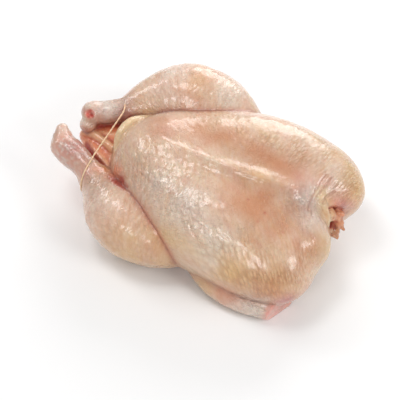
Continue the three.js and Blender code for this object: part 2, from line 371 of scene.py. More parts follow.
# %% [markdown]
# ## A net over the skin
# The field is sampled on a fine grid, but only close to the skin, where a coarse grid says that the skin
# passes. Each grid cube that the skin crosses gets one knot of the net, and each grid edge that it
# crosses gets one four-sided face. The result is an even, closed mesh with no seams.

# %% Sample the field on the grid
NET_STEP = 1.2
REFINE = 4
CLOSE_CELLS = 1.5
CHUNK = 30000
BOX_LOW = np.array([-168.0, -112.0, -4.0])
BOX_HIGH = np.array([136.0, 118.0, 122.0])


def in_chunks(field, points):
    parts = [field(points[i : i + CHUNK]) for i in range(0, len(points), CHUNK)]
    return np.concatenate(parts)


def in_between(values, axis):
    values = np.moveaxis(values, axis, 0)
    shares = np.arange(REFINE) / REFINE
    steps = [values[:-1] * (1 - t) + values[1:] * t for t in shares]
    filled = np.stack(steps, 1).reshape(-1, *values.shape[1:])
    return np.moveaxis(np.concatenate([filled, values[-1:]]), 0, axis)


def sample_grid(field):
    coarse = NET_STEP * REFINE
    count = np.ceil((BOX_HIGH - BOX_LOW) / coarse).astype(int) + 1
    corner = np.indices(count).reshape(3, -1).T
    values = in_chunks(field, BOX_LOW + coarse * corner).reshape(count)
    for axis in range(3):
        values = in_between(values, axis)
    close = np.argwhere(np.abs(values) < coarse * CLOSE_CELLS)
    values[tuple(close.T)] = in_chunks(field, BOX_LOW + NET_STEP * close)
    return values


grid = sample_grid(bird_field)
print("grid", grid.shape)


# %% Lay the net
def lay_net(values):
    inside = values < 0
    cells = np.array(values.shape) - 1
    corners = list(np.ndindex(2, 2, 2))

    def at_corner(array, c):
        return array[tuple(slice(o, o + n) for o, n in zip(c, cells))]

    filled = sum(at_corner(inside, c).astype(np.int8) for c in corners)
    crossed = (filled > 0) & (filled < len(corners))
    cell = np.argwhere(crossed)
    knot = np.full(cells, -1)
    knot[crossed] = np.arange(len(cell))

    total = np.zeros((len(cell), 3))
    hits = np.zeros(len(cell))
    for axis in range(3):
        for c in [c for c in corners if c[axis] == 0]:
            end = list(c)
            end[axis] = 1
            at_start = values[tuple((cell + c).T)]
            at_end = values[tuple((cell + end).T)]
            hit = (at_start < 0) != (at_end < 0)
            share = at_start / np.where(hit, at_start - at_end, 1)
            place = np.tile(np.array(c, float), (len(cell), 1))
            place[:, axis] = share
            total += place * hit[:, None]
            hits += hit
    points = BOX_LOW + NET_STEP * (cell + total / hits[:, None])

    faces = []
    for axis in range(3):
        step, u, v = np.roll(np.eye(3, dtype=int), -axis, 0)
        changes = np.argwhere(np.diff(inside, axis=axis))
        enclosed = (changes >= 1 - step).all(1) & (changes < cells).all(1)
        here = changes[enclosed]
        ring = np.stack([knot[tuple((here + o).T)] for o in (-u - v, -v, 0 * u, -u)], 1)
        outwards = inside[tuple(here.T)]
        ring[~outwards] = ring[~outwards][:, ::-1]
        faces.append(ring)
    return points, np.concatenate(faces)


def biggest_shell(points, faces):
    label = np.arange(len(points))
    ends = np.concatenate([faces[:, [0, 1]], faces[:, [1, 2]], faces[:, [2, 3]]])
    while True:
        before = label.copy()
        lowest = np.minimum(label[ends[:, 0]], label[ends[:, 1]])
        np.minimum.at(label, ends[:, 0], lowest)
        np.minimum.at(label, ends[:, 1], lowest)
        label = label[label]
        if (label == before).all():
            break
    kept = label == np.bincount(label).argmax()
    number = np.cumsum(kept) - 1
    return points[kept], number[faces[kept[faces[:, 0]]]]


skin_points, skin_faces = biggest_shell(*lay_net(grid))
middle = (skin_points.min(0) + skin_points.max(0)) / 2
cad_middle = np.mean(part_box("chicken"), axis=0) / MM
SHIFT = np.array([*(cad_middle - middle)[:2], -FLOOR_LEVEL])
print("skin net:", len(skin_points), "knots", len(skin_faces), "faces, shift", SHIFT.round(2))


def to_frame(points):
    return (np.asarray(points) + SHIFT) * MM


# %% Meshes from points
def new_mesh(name, points, faces):
    mesh = bpy.data.meshes.new(name)
    mesh.from_pydata(to_frame(points).tolist(), [], [list(f) for f in faces])
    mesh.polygons.foreach_set("use_smooth", np.ones(len(mesh.polygons), bool))
    mesh.update()
    piece = bpy.data.objects.new(name, mesh)
    bpy.context.scene.collection.objects.link(piece)
    return piece


def normals_of(piece):
    normals = np.empty(len(piece.data.vertices) * 3, np.float32)
    piece.data.vertices.foreach_get("normal", normals)
    return normals.reshape(-1, 3).astype(float)


chicken = new_mesh("chicken_skin", skin_points, skin_faces.tolist())
skin_normals = normals_of(chicken)
print("chicken_skin has", len(chicken.data.polygons), "faces")

# %% [markdown]
# ## Noise for skin
# Skin is uneven at every size: lumps of fat, fine wrinkles where it is slack, and a goose bump where
# each feather grew. Smooth noise gives the lumps. Ridged noise, stretched along one direction, gives
# wrinkles. A field of scattered points, in the material, gives the goose bumps.

# %% Smooth noise and crinkles
LATTICE = 32
SEED_STEP = 7.31
NOISE_GAIN = 1.7
CAP_TURN = 40.0
SWAY_LENGTH = 1.3
RIDGE_SHARPNESS = 2.6
RIDGE_POWER = 1.3
random = np.random.default_rng(7)
gradients = random.normal(size=(LATTICE, LATTICE, LATTICE, 3))
gradients /= np.linalg.norm(gradients, axis=-1, keepdims=True)


def noise(p, size, seed=0):
    q = p / size + SEED_STEP * seed
    cell = np.floor(q).astype(int)
    f = q - cell
    fade = f**3 * (f * (f * 6 - 15) + 10)
    total = 0
    for corner in np.ndindex(2, 2, 2):
        slope = gradients[tuple(((cell + corner) % LATTICE).T)]
        weight = np.where(corner, fade, 1 - fade).prod(-1)
        total = total + weight * (slope * (f - corner)).sum(-1)
    return total * NOISE_GAIN


def unroll(p, start, end, radius):
    axis = unit(np.subtract(end, start))
    side = unit(np.cross(axis, (0, 0, 1)))
    up = np.cross(side, axis)
    q = p - start
    along, sideways, upwards = q @ axis, q @ side, q @ up
    half = np.linalg.norm(np.subtract(end, start)) / 2
    towards_end = np.tanh((along - half) / CAP_TURN)
    along = along + towards_end * (radius - np.hypot(sideways, upwards))
    return np.stack([along, np.arctan2(sideways, upwards) * -radius], 1)


def crinkle(uv, angle, width, length, seed=0):
    turn = math.radians(angle)
    along = uv @ [math.cos(turn), math.sin(turn)]
    across = uv @ [-math.sin(turn), math.cos(turn)]
    flat = np.column_stack([along, across, np.full(len(uv), 0.5)])
    across = across + noise(flat, length * SWAY_LENGTH, seed + 1) * width
    q = np.column_stack([along / length, across / width, np.full(len(uv), 0.37)])
    return np.clip(1 - RIDGE_SHARPNESS * np.abs(noise(q, 1.0, seed)), 0, 1) ** RIDGE_POWER


print("noise lattice:", gradients.shape)

# %% [markdown]
# ## Where things are on the bird
# Relief and colour both ask where a point is: on which part, how deep in a crease, and how near a named
# place. A patch is a soft-edged area round some places, with its border made ragged by noise.

# %% Parts, creases and patches
p = skin_points
upright_points = p @ ROLL_MATRIX
part_distance = {
    "trunk": in_chunks(trunk, upright_points),
    "near_leg": in_chunks(near_leg, p),
    "far_leg": in_chunks(far_leg, p),
    "near_wing": in_chunks(near_wing, p),
    "far_wing": in_chunks(far_wing, upright_points),
    "tail": in_chunks(tail, p),
    "breast_edge": in_chunks(breast_edge, p),
}
BORDER = 1.0
RAGGED_SIZE = 0.6
RAGGED_SEED = 3
PATCH_FALL = 1.2


def on_part(name):
    others = np.min([d for n, d in part_distance.items() if n != name], axis=0)
    return 1 / (1 + np.exp(np.clip((part_distance[name] - others) / BORDER, -30, 30)))


def in_crease(width):
    body = np.minimum(part_distance["trunk"], part_distance["breast_edge"])
    others = [d for name, d in part_distance.items() if name not in ("trunk", "breast_edge")]
    two_nearest = np.sort([body, *others], axis=0)[:2]
    return np.exp(-((two_nearest[1] / width) ** 2))


def patch(spots, ragged=0.35):
    area = np.zeros(len(p))
    for x, y, z, radius, strength in spots:
        far = np.linalg.norm(p - (x, y, z), axis=1) / radius
        far = far + ragged * noise(p, radius * RAGGED_SIZE, RAGGED_SEED)
        area = np.maximum(area, strength * np.exp(-(np.clip(far, 0, None) ** 2) * PATCH_FALL))
    return area


def near_line(points, width, steps=6):
    stations = [(*q, 0) for q in points]
    return np.exp(-((in_chunks(limb(stations, steps), p) / width) ** 2))


on_legs = on_part("far_leg") + on_part("near_leg")
on_tail = on_part("tail")
on_trunk = on_part("trunk")
# Where painted shade will darken the creases between parts.
crease_shade = in_crease(4.0)
deep_crease = in_crease(1.6)
print("crease share of the skin:", round(float(crease_shade.mean()), 3))

# %% [markdown]
# ## Flow lines
# Wrinkles and feather rows follow the body, so each point gets flat coordinates in millimetres: one along
# its limb and one around it. They are stored on the mesh for the material too. Each limb starts at its
# own far-off place, so that no pattern runs on from one limb to the next.

# %% Flat coordinates along and around each limb
BETWEEN_LIMBS = 500.0
FLOW_AXES = {
    "trunk": ((-90, -6, 48), (110, -6, 48), 58),
    "near_leg": ((-118, -38, 60), (-22, -64, 36), 27),
    "far_leg": ((-108, 30, 74), (-4, 58, 69), 28),
    "near_wing": ((12, -66, 18), (100, -76, 14), 14),
    "tail": ((-139, 0, 54), (-90, -6, 54), 16),
}
flow = unroll(p, *FLOW_AXES["trunk"])
for n, (limb_name, axis) in enumerate(FLOW_AXES.items()):
    here = on_part(limb_name) > 0.5
    flow[here] = unroll(p[here], *axis) + n * BETWEEN_LIMBS
print("flow from", flow.min(0).round(), "to", flow.max(0).round())

# %% [markdown]
# ## The route of the elastic loop
# The CAD model holds the loop as a plain ring just clear of the skin. Its vertices give the route back:
# sorted by their angle about the loop's middle, the mean of each small sector is a point of the centre
# line. Where the ring lies on a shank, the real cord sinks into the flesh, so the route is pressed in.

# %% The route of the loop
SECTORS = 84
HUGGING_REACH = 3.5
HUGGING_EDGE = 1.5
PROBE = 0.5
FAR_SHANK_FROM_Y = 12.0
FAR_DEPTH = -0.8
NEAR_DEPTH = 0.0
tie_middle = np.mean(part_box("leg_tie"), axis=0) / MM
tie_vertices = np.array([v.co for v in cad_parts["leg_tie"].data.vertices]) / MM
angles = np.arctan2(tie_vertices[:, 2] - tie_middle[2], tie_vertices[:, 1] - tie_middle[1])
sector = np.floor((angles + math.pi) / (2 * math.pi) * SECTORS).astype(int) % SECTORS
tie_route = np.array([tie_vertices[sector == n].mean(0) for n in range(SECTORS) if (sector == n).any()])
tie_route = tie_route - SHIFT


def press_in(route):
    gap = bird_field(route)
    slope = np.stack([bird_field(route + PROBE * step) - gap for step in np.eye(3)], 1)
    slope /= np.linalg.norm(slope, axis=1, keepdims=True)
    depth = np.where(route[:, 1] > FAR_SHANK_FROM_Y, FAR_DEPTH, NEAR_DEPTH)
    share = np.clip((HUGGING_REACH - gap) / HUGGING_EDGE, 0, 1)
    pressed = route - slope * ((gap - depth) * share)[:, None]
    return (np.roll(pressed, 1, 0) + 2 * pressed + np.roll(pressed, -1, 0)) / 4


tie_route = press_in(tie_route)
lengths = np.linalg.norm(np.roll(tie_route, -1, 0) - tie_route, axis=1)
print("loop:", len(tie_route), "points, length", round(float(lengths.sum())), "mm")

# %% [markdown]
# ## Relief
# All relief is a height in millimetres along the skin's normal. It is real geometry, so it keeps its
# outline and catches the light from every side. Only what is finer than the net is left to the shader.

# %% Areas of slack, crinkled and bumpy skin
CRINKLE_EVERYWHERE = 0.3
BUMPS_ON_LEGS = 0.32
LEGS_FROM_X = -100


def fading(distance, width):
    return np.exp(-((np.clip(distance, 0, None) / width) ** 2))


def nearest_of(shapes):
    return np.min([in_chunks(shape, p) for shape in shapes], axis=0)


slack = patch([
    (-48, -46, 92, 34, 1), (-20, -54, 92, 26, 0.9), (-78, -32, 84, 26, 0.6), (0, -40, 98, 18, 0.5),
])
crinkled = patch([
    # The flank and the neck.
    (-4, -68, 84, 34, 1), (24, -78, 76, 26, 1), (-35, -60, 88, 24, 0.8), (50, -64, 84, 16, 0.6),
    (84, -20, 86, 26, 1), (96, 8, 80, 18, 0.8),
    # The near leg, both shanks and the forearm.
    (-92, -56, 68, 26, 0.9), (-80, -78, 62, 22, 0.6), (-125, -36, 74, 26, 0.9), (-115, 24, 80, 22, 0.8),
    (70, -90, 22, 24, 1),
])
crinkled = np.maximum(crinkled, CRINKLE_EVERYWHERE * (1 + noise(p, 18, 34)))
bumpy = patch(
    [
        # The near wing.
        (45, -86, 60, 24, 1), (66, -84, 60, 26, 1), (88, -80, 56, 26, 1), (24, -84, 58, 16, 0.7),
        (100, -64, 60, 20, 0.8),
        # The far crest of the breast and the far shoulder.
        (-18, 30, 102, 16, 0.7), (8, 28, 105, 16, 1), (34, 26, 105, 16, 1), (60, 26, 102, 18, 0.9),
        (84, 30, 96, 20, 0.9), (108, 30, 78, 26, 1), (92, 52, 70, 34, 1),
    ],
    ragged=0.2,
)
bumpy = np.maximum(bumpy, BUMPS_ON_LEGS * on_legs * (p[:, 0] > LEGS_FROM_X))
bumpy *= 0.75 + 0.6 * noise(p, 14, 11)
neck_skin = patch([(88, 2, 86, 18, 1), (92, -12, 80, 18, 1), (98, -26, 72, 18, 0.8), (98, 12, 84, 14, 1)])
neck_flesh = fading(nearest_of(NECK_FLESH + NECK_SHREDS), 2.0)
print("slack, crinkled, bumpy:", [round(float(a.mean()), 3) for a in (slack, crinkled, bumpy)])

# %% Lumps, wrinkles and folds
KEEL_LINE = [(-50, -15, 103), (-38, -17, 104), (0, -17, 103), (21, -18, 101), (56, -14, 97), (75, -9, 92)]
BESIDE_KEEL = [(-10, -24, 101), (21, -28, 99), (56, -24, 95), (74, -18, 90)]
NECK_FOLDS = [
    [(92, 17, 92), (89, 5, 87), (88, -8, 83), (90, -18, 80)],
    [(97, 17, 90), (93, 4, 85), (91, -9, 82), (95, -22, 76), (101, -34, 68)],
    [(102, 10, 82), (98, 0, 80), (99, -10, 76), (103, -20, 68)],
]
FLANK_FOLDS = [
    [(2, -72, 82), (6, -76, 78), (12, -80, 73)],
    [(-8, -64, 87), (8, -66, 86), (24, -70, 83), (40, -74, 78)],
]
CREASE_CALM = 0.6
GROOVE_DEPTH = 0.7
GROOVE_WIDTH = 1.6
RESTING_REACH = 1.5

# Each lump has a height, a size and a seed.
lumps = [
    (0.6 - 0.3 * on_trunk, 26, 1),
    (0.3, 12, 2),
    (0.14, 6, 3),
    (0.7 * neck_flesh, 5, 31),
    (0.5 * neck_flesh, 2.6, 32),
]
# Each set of crinkles has a height, an angle to the flow, a width, a length and a seed.
crinkles = [
    (0.95 * slack, -54, 5.0, 13, 4),
    (0.4 * crinkled, -75, 4.0, 9, 6),
    (0.9 * neck_skin, -66, 4.4, 18, 8),
    (0.12 * on_trunk, -60, 4.2, 9, 10),
    (0.25 * on_legs, 80, 4.2, 9, 12),
]
# Each set of lines has a height and a width. A fold is a groove between two low banks.
LINES = [
    (1.0, 2.4, [KEEL_LINE]),
    (-0.7, 6.0, [BESIDE_KEEL]),
    (-1.5, 1.3, NECK_FOLDS),
    (0.6, 4.0, NECK_FOLDS),
    (-0.7, 1.6, FLANK_FOLDS),
    (0.3, 4.0, FLANK_FOLDS),
]
height = np.zeros(len(p))
for tall, size, seed in lumps:
    height += tall * noise(p, size, seed)
for tall, angle, width, length, seed in crinkles:
    height += tall * crinkle(flow, angle, width, length, seed)
for tall, width, lines in LINES:
    for line in lines:
        height += tall * near_line(line, width)
height *= 1 - CREASE_CALM * deep_crease
height -= GROOVE_DEPTH * near_line([*tie_route, tie_route[0]], GROOVE_WIDTH, steps=1)
print("relief from", height.min().round(2), "to", height.max().round(2), "mm")

# %% Put the relief on the skin
height[p[:, 2] < FLOOR_LEVEL + RESTING_REACH] = 0
relieved = p + skin_normals * height[:, None]
relieved[:, 2] = np.maximum(relieved[:, 2], FLOOR_LEVEL)
chicken.data.vertices.foreach_set("co", to_frame(relieved).astype(np.float32).ravel())
chicken.data.update()
print("highest point of the skin in mm:", round(float(relieved[:, 2].max()), 1))

# %% [markdown]
# ## Hollows
# Every fold, however small, is darkened with painted shade. A knot of the net lies in a hollow where the mean
# of its neighbours is outside it, so that offset, spread a little over the net, finds all of the folds.

# %% Find the hollows of the finished relief
HOLLOW_RADIUS = 5.0
SPREAD_TIMES = 2


def hollows(points, normals, faces):
    near, far = faces.ravel(), np.roll(faces, -1, axis=1).ravel()
    ends = np.concatenate([near, far])
    others = np.concatenate([far, near])
    count = np.bincount(ends, minlength=len(points))

    def mean_around(values):
        return np.bincount(ends, values[others], len(points)) / count

    bend = sum((mean_around(points[:, i]) - points[:, i]) * normals[:, i] for i in range(3))
    for _ in range(SPREAD_TIMES):
        bend = mean_around(bend)
    return np.clip(bend * 4 / NET_STEP**2 * HOLLOW_RADIUS, 0, 1)


hollow = hollows(relieved, normals_of(chicken), skin_faces)
print("hollow share of the skin:", round(float(hollow.mean()), 3))

# %% [markdown]
# ## What shows through the skin
# The colour of raw poultry is depth: cream skin, brown-pink muscle where it is thin, yellow fat under the
# thick parts, pink at the shanks and neck, and dark blood in the gaps. Painted shade darkens the creases and
# hollows, and painted sheen and reflection pale the skin where highlights fall. Each is an area painted as
# a named attribute, which the material turns into colour.

# %% Muscle, fat, pink skin, and pale skin with painted sheen
FAR_BREAST_BAND = [(-66, 4, 97), (-30, 9, 102), (6, 9, 101), (40, 6, 100), (66, 4, 96)]
far_band = near_line(FAR_BREAST_BAND, 12) * np.clip(0.9 + 0.4 * noise(p, 22, 14), 0, 1)
muscle = patch([
    # The near breast, beside the keel, and the neck.
    (50, -42, 92, 30, 1), (76, -42, 84, 22, 0.8), (28, -34, 96, 20, 0.6), (60, 3, 97, 18, 0.9),
    (-60, 0, 98, 22, 0.6), (104, 0, 68, 9, 1), (113, 13, 73, 12, 0.2),
    # The near wing and shoulder, and the forearm.
    (86, -88, 46, 24, 1), (60, -92, 44, 18, 0.7), (105, -46, 68, 18, 0.7), (46, -97, 29, 14, 1),
    # The legs.
    (-63, -98, 38, 22, 0.45), (-24, -86, 52, 20, 0.4), (-46, 60, 104, 18, 0.4), (-24, 60, 100, 14, 0.4),
])
muscle = np.maximum(muscle, far_band)
fat = patch([
    # The near wing and the edge of the neck skin.
    (46, -88, 54, 26, 0.9), (84, -82, 58, 20, 0.4), (20, -80, 60, 20, 0.7), (88, -80, 52, 20, 0.25),
    (-8, -80, 62, 20, 0.8), (20, -90, 22, 20, 0.8), (115, -27, 57, 16, 1), (108, -34, 50, 16, 0.9),
    # The far shoulder and the far crest.
    (118, 34, 72, 22, 0.9), (104, 54, 66, 24, 0.6), (108, 40, 84, 14, 0.8), (92, 48, 90, 12, 0.6),
    (70, 52, 96, 11, 0.5), (-22, 40, 92, 10, 0.5),
    # The legs, the tail end of the breast and the keel.
    (-56, 58, 106, 14, 0.6), (-16, -84, 60, 14, 0.9), (-44, -92, 40, 16, 0.6), (-50, -94, 26, 28, 0.7),
    (-20, -80, 34, 24, 0.7), (-97, -37, 68, 7, 0.9), (-104, -22, 62, 8, 0.4), (42, -14, 99, 10, 0.5),
])
pink = patch([
    # The shanks, the far leg, the near leg, and a pink painted highlight on the keel.
    (-135, -34, 74, 24, 1), (-112, -48, 66, 18, 0.7), (-124, 12, 84, 18, 0.4), (-110, 24, 84, 14, 0.4),
    (-68, 56, 104, 30, 0.35), (-85, -70, 60, 26, 0.3), (-52, -6, 104, 13, 0.3),
    # The neck and the forearm.
    (90, -2, 86, 20, 0.8), (104, 2, 68, 18, 1), (80, 2, 96, 16, 0.5), (99, -85, 34, 10, 1),
    (50, -94, 24, 20, 0.5),
])
# Pale skin and cartilage, with painted sheen and painted reflection where highlights fall.
pale_and_sheen = patch([
    # The flank and the neck: paler skin, partly painted sheen.
    (-4, -66, 86, 26, 0.7), (28, -78, 76, 22, 0.8), (25, -84, 62, 14, 0.9), (28, -85, 58, 14, 0.8),
    (-35, -52, 89, 16, 0.65), (98, -20, 78, 16, 0.8), (92, -4, 85, 17, 1),
    # The far side of the breast: painted sheen along the crest.
    (-70, 33, 100, 20, 0.5), (62, 36, 103, 14, 0.5), (82, 30, 97, 12, 0.4), (97, 26, 92, 12, 0.5),
    # The legs, with painted sheen on the calf and the far leg, and the pale shanks and knuckles.
    (-83, -74, 68, 20, 0.5), (-20, 62, 102, 20, 0.85), (-76, 64, 106, 18, 0.7), (-122, 16, 84, 16, 1),
    (-150, -18, 74, 6, 0.8), (-141, 12, 80, 8, 0.5), (-138, 10, 86, 7, 0.7), (-139, 0, 72, 6, 0.9),
    # The forearm: painted reflection of the pale floor.
    (90, -88, 13, 10, 1), (76, -94, 20, 18, 1), (60, -97, 16, 10, 0.6),
])
net_white = np.clip(2.5 * noise(p, 3.5, 37), 0, 1)
mottled = patch([(-132, -32, 72, 22, 1), (-124, 14, 80, 16, 1), (92, -6, 85, 16, 0.8)]) * net_white
pale_and_sheen = np.maximum(pale_and_sheen, 0.9 * mottled)
print("muscle, fat, pink, pale:", [round(float(a.mean()), 3) for a in (muscle, fat, pink, pale_and_sheen)])

# %% Raw flesh, edges and cuts
RIM_ABOVE = 55
CUT_DEPTH = 3.0
raw = np.maximum(on_tail * 0.9, patch([(-95, -40, 68, 9, 0.6), (-84, -43, 72, 9, 1), (103, 2, 72, 10, 0.6)]))
rim = fading(part_distance["breast_edge"], 4.0) * (p[:, 2] > RIM_ABOVE)
rim = np.maximum(rim, 0.6 * on_tail * fading(nearest_of(TAIL_RIDGES), 1.2))
rim = np.maximum(rim, 0.9 * fading(in_chunks(neck_skin_edge, p), 6.0))
bruised = patch([
    # The shanks.
    (-131, -26, 72, 9, 0.5), (-118, -36, 73, 6, 0.35), (-124, 7, 78, 9, 0.45), (-110, 18, 76, 10, 0.6),
    (-104, 26, 76, 7, 0.6), (-141, 4, 82, 5, 0.7),
    # The neck and the forearm.
    (112, 9, 67, 9, 1), (118, 17, 60, 7, 0.5), (100, 4, 76, 6, 0.4), (101, -84, 35, 9, 0.9),
])
cuts = [("near_wing", NEAR_CUT, p), ("far_wing", FAR_CUT, upright_points)]
cut_end = np.zeros(len(p))
for wing_name, (cut_at, cut_facing), points in cuts:
    inside_cut = -(points - cut_at) @ unit(cut_facing) / CUT_DEPTH + 0.7 * noise(p, 6, 33)
    cut_end = np.maximum(cut_end, on_part(wing_name) * fading(inside_cut, 1))
cut_end *= np.clip(0.85 + 0.5 * noise(p, 4, 35), 0, 1)
marrow = np.exp(-((np.linalg.norm(p - marrow_at, axis=1) / MARROW_WIDTH * 2) ** 6))
marrow *= np.clip(0.8 + 0.6 * noise(p, 3, 36), 0, 1)
print("raw, rim, bruised:", [round(float(a.mean()), 3) for a in (raw, rim, bruised)])

# %% Painted shade in the creases, and blood with painted shade in the gaps
BLOOD_ABOVE = 30
# Blood in the gaps, spots and marrow, with painted shade in the gaps, pits, deep creases and hollows.
blood_and_shade = np.maximum.reduce([
    patch([
        # The gaps beside the shanks and the tail: blood and painted shade.
        (-136, -2, 66, 4, 0.7), (-100, 20, 72, 9, 0.9), (-74, -50, 74, 6, 0.9), (-100, -38, 62, 4, 0.4),
        # Small spots on the near breast.
        (60, -42, 89, 1.4, 0.6), (58, -53, 88, 1.2, 0.5), (42, -38, 93, 1.2, 0.5), (80, -50, 82, 1.3, 0.5),
    ]),
    marrow * np.clip(3 * noise(p, 2.4, 9), 0, 0.8),
    fading(nearest_of([*PITS, neck_hole]), 2.2),
    on_tail * fading(in_chunks(leg_web, p), 1.5),
    0.5 * deep_crease * (p[:, 2] > BLOOD_ABOVE),
    hollow * np.maximum(0.75 * neck_flesh, 0.5 * on_tail),
])
# Painted shade: darker in the creases between parts, in the hollows and along the neck folds.
crease_shade = np.maximum(0.7 * crease_shade, 0.45 * hollow * (1 - 0.7 * neck_skin)) * (1 - 0.6 * on_tail)
for fold in NECK_FOLDS:
    crease_shade = np.maximum(crease_shade, 0.8 * near_line(fold, 1.1))
print("blood, crease:", [round(float(a.mean()), 3) for a in (blood_and_shade, crease_shade)])

# %% Store the areas on the mesh
AREAS = {
    "muscle": muscle, "fat": fat, "pink": pink, "pale_and_sheen": pale_and_sheen, "bruised": bruised, "raw": raw,
    "neck_flesh": neck_flesh, "rim": rim, "cut_end": cut_end, "marrow": marrow, "crease_shade": crease_shade,
    "blood_and_shade": blood_and_shade, "slack": slack, "crinkled": crinkled, "bumpy": bumpy,
}
for area_name, area in AREAS.items():
    layer = chicken.data.attributes.new(area_name, "FLOAT", "POINT")
    layer.data.foreach_set("value", np.clip(area, 0, 1).astype(np.float32))
flow_layer = chicken.data.attributes.new("flow", "FLOAT_VECTOR", "POINT")
flow_layer.data.foreach_set("vector", np.column_stack([flow, 0 * flow[:, 0]]).astype(np.float32).ravel())
print("areas stored:", len(AREAS))

# %% [markdown]
# ## Shader groups
# What is finer than the mesh is drawn by the material, in groups that can be placed many times. Mottle
# breaks up a colour with soft blotches. Wrinkles are fine ridges along one direction of the flow, streaks
# are long soft marks along it, and goose bumps are a small dome where each feather grew.

# %% Node helpers
SOCKET_KINDS = {1: "NodeSocketFloat", 3: "NodeSocketVector", 4: "NodeSocketColor"}


def feed(tree, socket, value):
    if isinstance(value, bpy.types.NodeSocket):
        tree.links.new(value, socket)
    else:
        socket.default_value = value


def add_node(tree, kind, at, **values):
    """Adds a node. Each value is a setting of the node, or goes to an input as a number or a link."""
    made = tree.nodes.new(kind)
    made.location = at
    for key, value in values.items():
        if key in made.bl_rna.properties:
            setattr(made, key, value)
        else:
            feed(tree, made.inputs[key.replace("_", " ")], value)
    return made


def new_group(name, output, output_kind, inputs):
    tree = bpy.data.node_groups.new(name, "ShaderNodeTree")
    for label, value in inputs.items():
        kind = SOCKET_KINDS[np.size(value)]
        socket = tree.interface.new_socket(label, in_out="INPUT", socket_type=kind)
        socket.default_value = value
    tree.interface.new_socket(output, in_out="OUTPUT", socket_type=output_kind)
    return tree, tree.nodes.new("NodeGroupInput"), tree.nodes.new("NodeGroupOutput")


def lay_over(tree, at, under, over, share, blend_type="MIX"):
    made = add_node(tree, "ShaderNodeMix", at, data_type="RGBA", blend_type=blend_type)
    factor, under_socket, over_socket = made.inputs[0], made.inputs[6], made.inputs[7]
    feed(tree, factor, share)
    feed(tree, under_socket, under)
    feed(tree, over_socket, over)
    return made.outputs[2]


def maths(tree, at, operation, *values, clamp=False):
    made = add_node(tree, "ShaderNodeMath", at, operation=operation, use_clamp=clamp)
    for socket, value in zip(made.inputs, values):
        feed(tree, socket, value)
    return made.outputs[0]


def spread(tree, at, value, low, high, **values):
    made = add_node(tree, "ShaderNodeMapRange", at, Value=value, From_Min=low, From_Max=high, **values)
    return made.outputs["Result"]


def place_group(tree, at, group, **values):
    return add_node(tree, "ShaderNodeGroup", at, node_tree=group, **values).outputs[0]


def soft_noise(tree, at, place, scale, detail, roughness=0.5):
    kind = "ShaderNodeTexNoise"
    made = add_node(tree, kind, at, Vector=place, Scale=scale, Detail=detail, Roughness=roughness)
    return made.outputs["Fac"]


def painted(tree, at, name, output="Fac"):
    return add_node(tree, "ShaderNodeAttribute", at, attribute_name=name).outputs[output]


def new_material(name, looks_of):
    """Makes a material and feeds its shader with the looks that a function makes for its tree."""
    material = bpy.data.materials.new(name)
    material.use_nodes = True
    tree = material.node_tree
    for label, value in looks_of(tree).items():
        feed(tree, tree.nodes["Principled BSDF"].inputs[label], value)
    return material


def srgb(*levels):
    """The linear colour of a screen colour that is given in levels of 0 to 255."""
    shares = [level / 255 for level in levels]
    return (*(((share + 0.055) / 1.055) ** 2.4 for share in shares), 1.0)


print("kinds of socket:", len(SOCKET_KINDS))


# %% The mottle group
def mottle_group():
    tree, entry, leave = new_group(
        "Mottle",
        "Colour",
        "NodeSocketColor",
        {"Colour": (0.8, 0.6, 0.5, 1), "Blotch colour": (0.7, 0.5, 0.4, 1), "Size": 90.0, "Amount": 0.5},
    )
    place = add_node(tree, "ShaderNodeTexCoord", (-900, -200)).outputs["Object"]
    soft = soft_noise(tree, (-650, -100), place, entry.outputs["Size"], 4.0, 0.6)
    blotches = spread(tree, (-450, -100), soft, 0.38, 0.66)
    share = maths(tree, (-250, -100), "MULTIPLY", blotches, entry.outputs["Amount"])
    mixed = lay_over(tree, (0, 0), entry.outputs["Colour"], entry.outputs["Blotch colour"], share)
    tree.links.new(mixed, leave.inputs["Colour"])
    return tree


MOTTLE = mottle_group()
print("group", MOTTLE.name, "has", len(MOTTLE.nodes), "nodes")


# %% The wrinkle and streak groups
def flow_group(name, length, width, output):
    """Starts a group with a turned flow, which runs in lengths along its texture and in widths across it."""
    tree, entry, leave = new_group(
        name,
        output,
        "NodeSocketFloat",
        {"Flow": (0, 0, 0), "Angle": 0.0, "Length": length, "Width": width},
    )
    flow_in = entry.outputs["Flow"]
    back = maths(tree, (-1300, -200), "MULTIPLY", entry.outputs["Angle"], -1.0)
    turned = add_node(
        tree, "ShaderNodeVectorRotate", (-1100, 0), rotation_type="Z_AXIS", Vector=flow_in, Angle=back
    )
    split = add_node(tree, "ShaderNodeSeparateXYZ", (-900, 0), Vector=turned.outputs["Vector"])
    along = maths(tree, (-700, 100), "DIVIDE", split.outputs["X"], entry.outputs["Length"])
    across = maths(tree, (-700, -100), "DIVIDE", split.outputs["Y"], entry.outputs["Width"])
    return tree, leave, along, across


def join(tree, at, x, y):
    return add_node(tree, "ShaderNodeCombineXYZ", at, X=x, Y=y).outputs["Vector"]


def wrinkle_group():
    tree, leave, along, across = flow_group("Wrinkles", 9.0, 2.0, "Height")
    place = join(tree, (-500, -200), along, across)
    sway = soft_noise(tree, (-300, -200), place, 0.7, 1.0)
    swayed = maths(tree, (-100, -100), "MULTIPLY_ADD", sway, 3.0, across)
    ridges = soft_noise(tree, (250, 0), join(tree, (100, 0), along, swayed), 1.0, 2.0, 0.6)
    centred = maths(tree, (450, 0), "SUBTRACT", ridges, 0.5)
    folded = maths(tree, (600, 0), "ABSOLUTE", centred)
    height = maths(tree, (750, 0), "MULTIPLY_ADD", folded, -6.0, 1.0, clamp=True)
    tree.links.new(height, leave.inputs["Height"])
    return tree


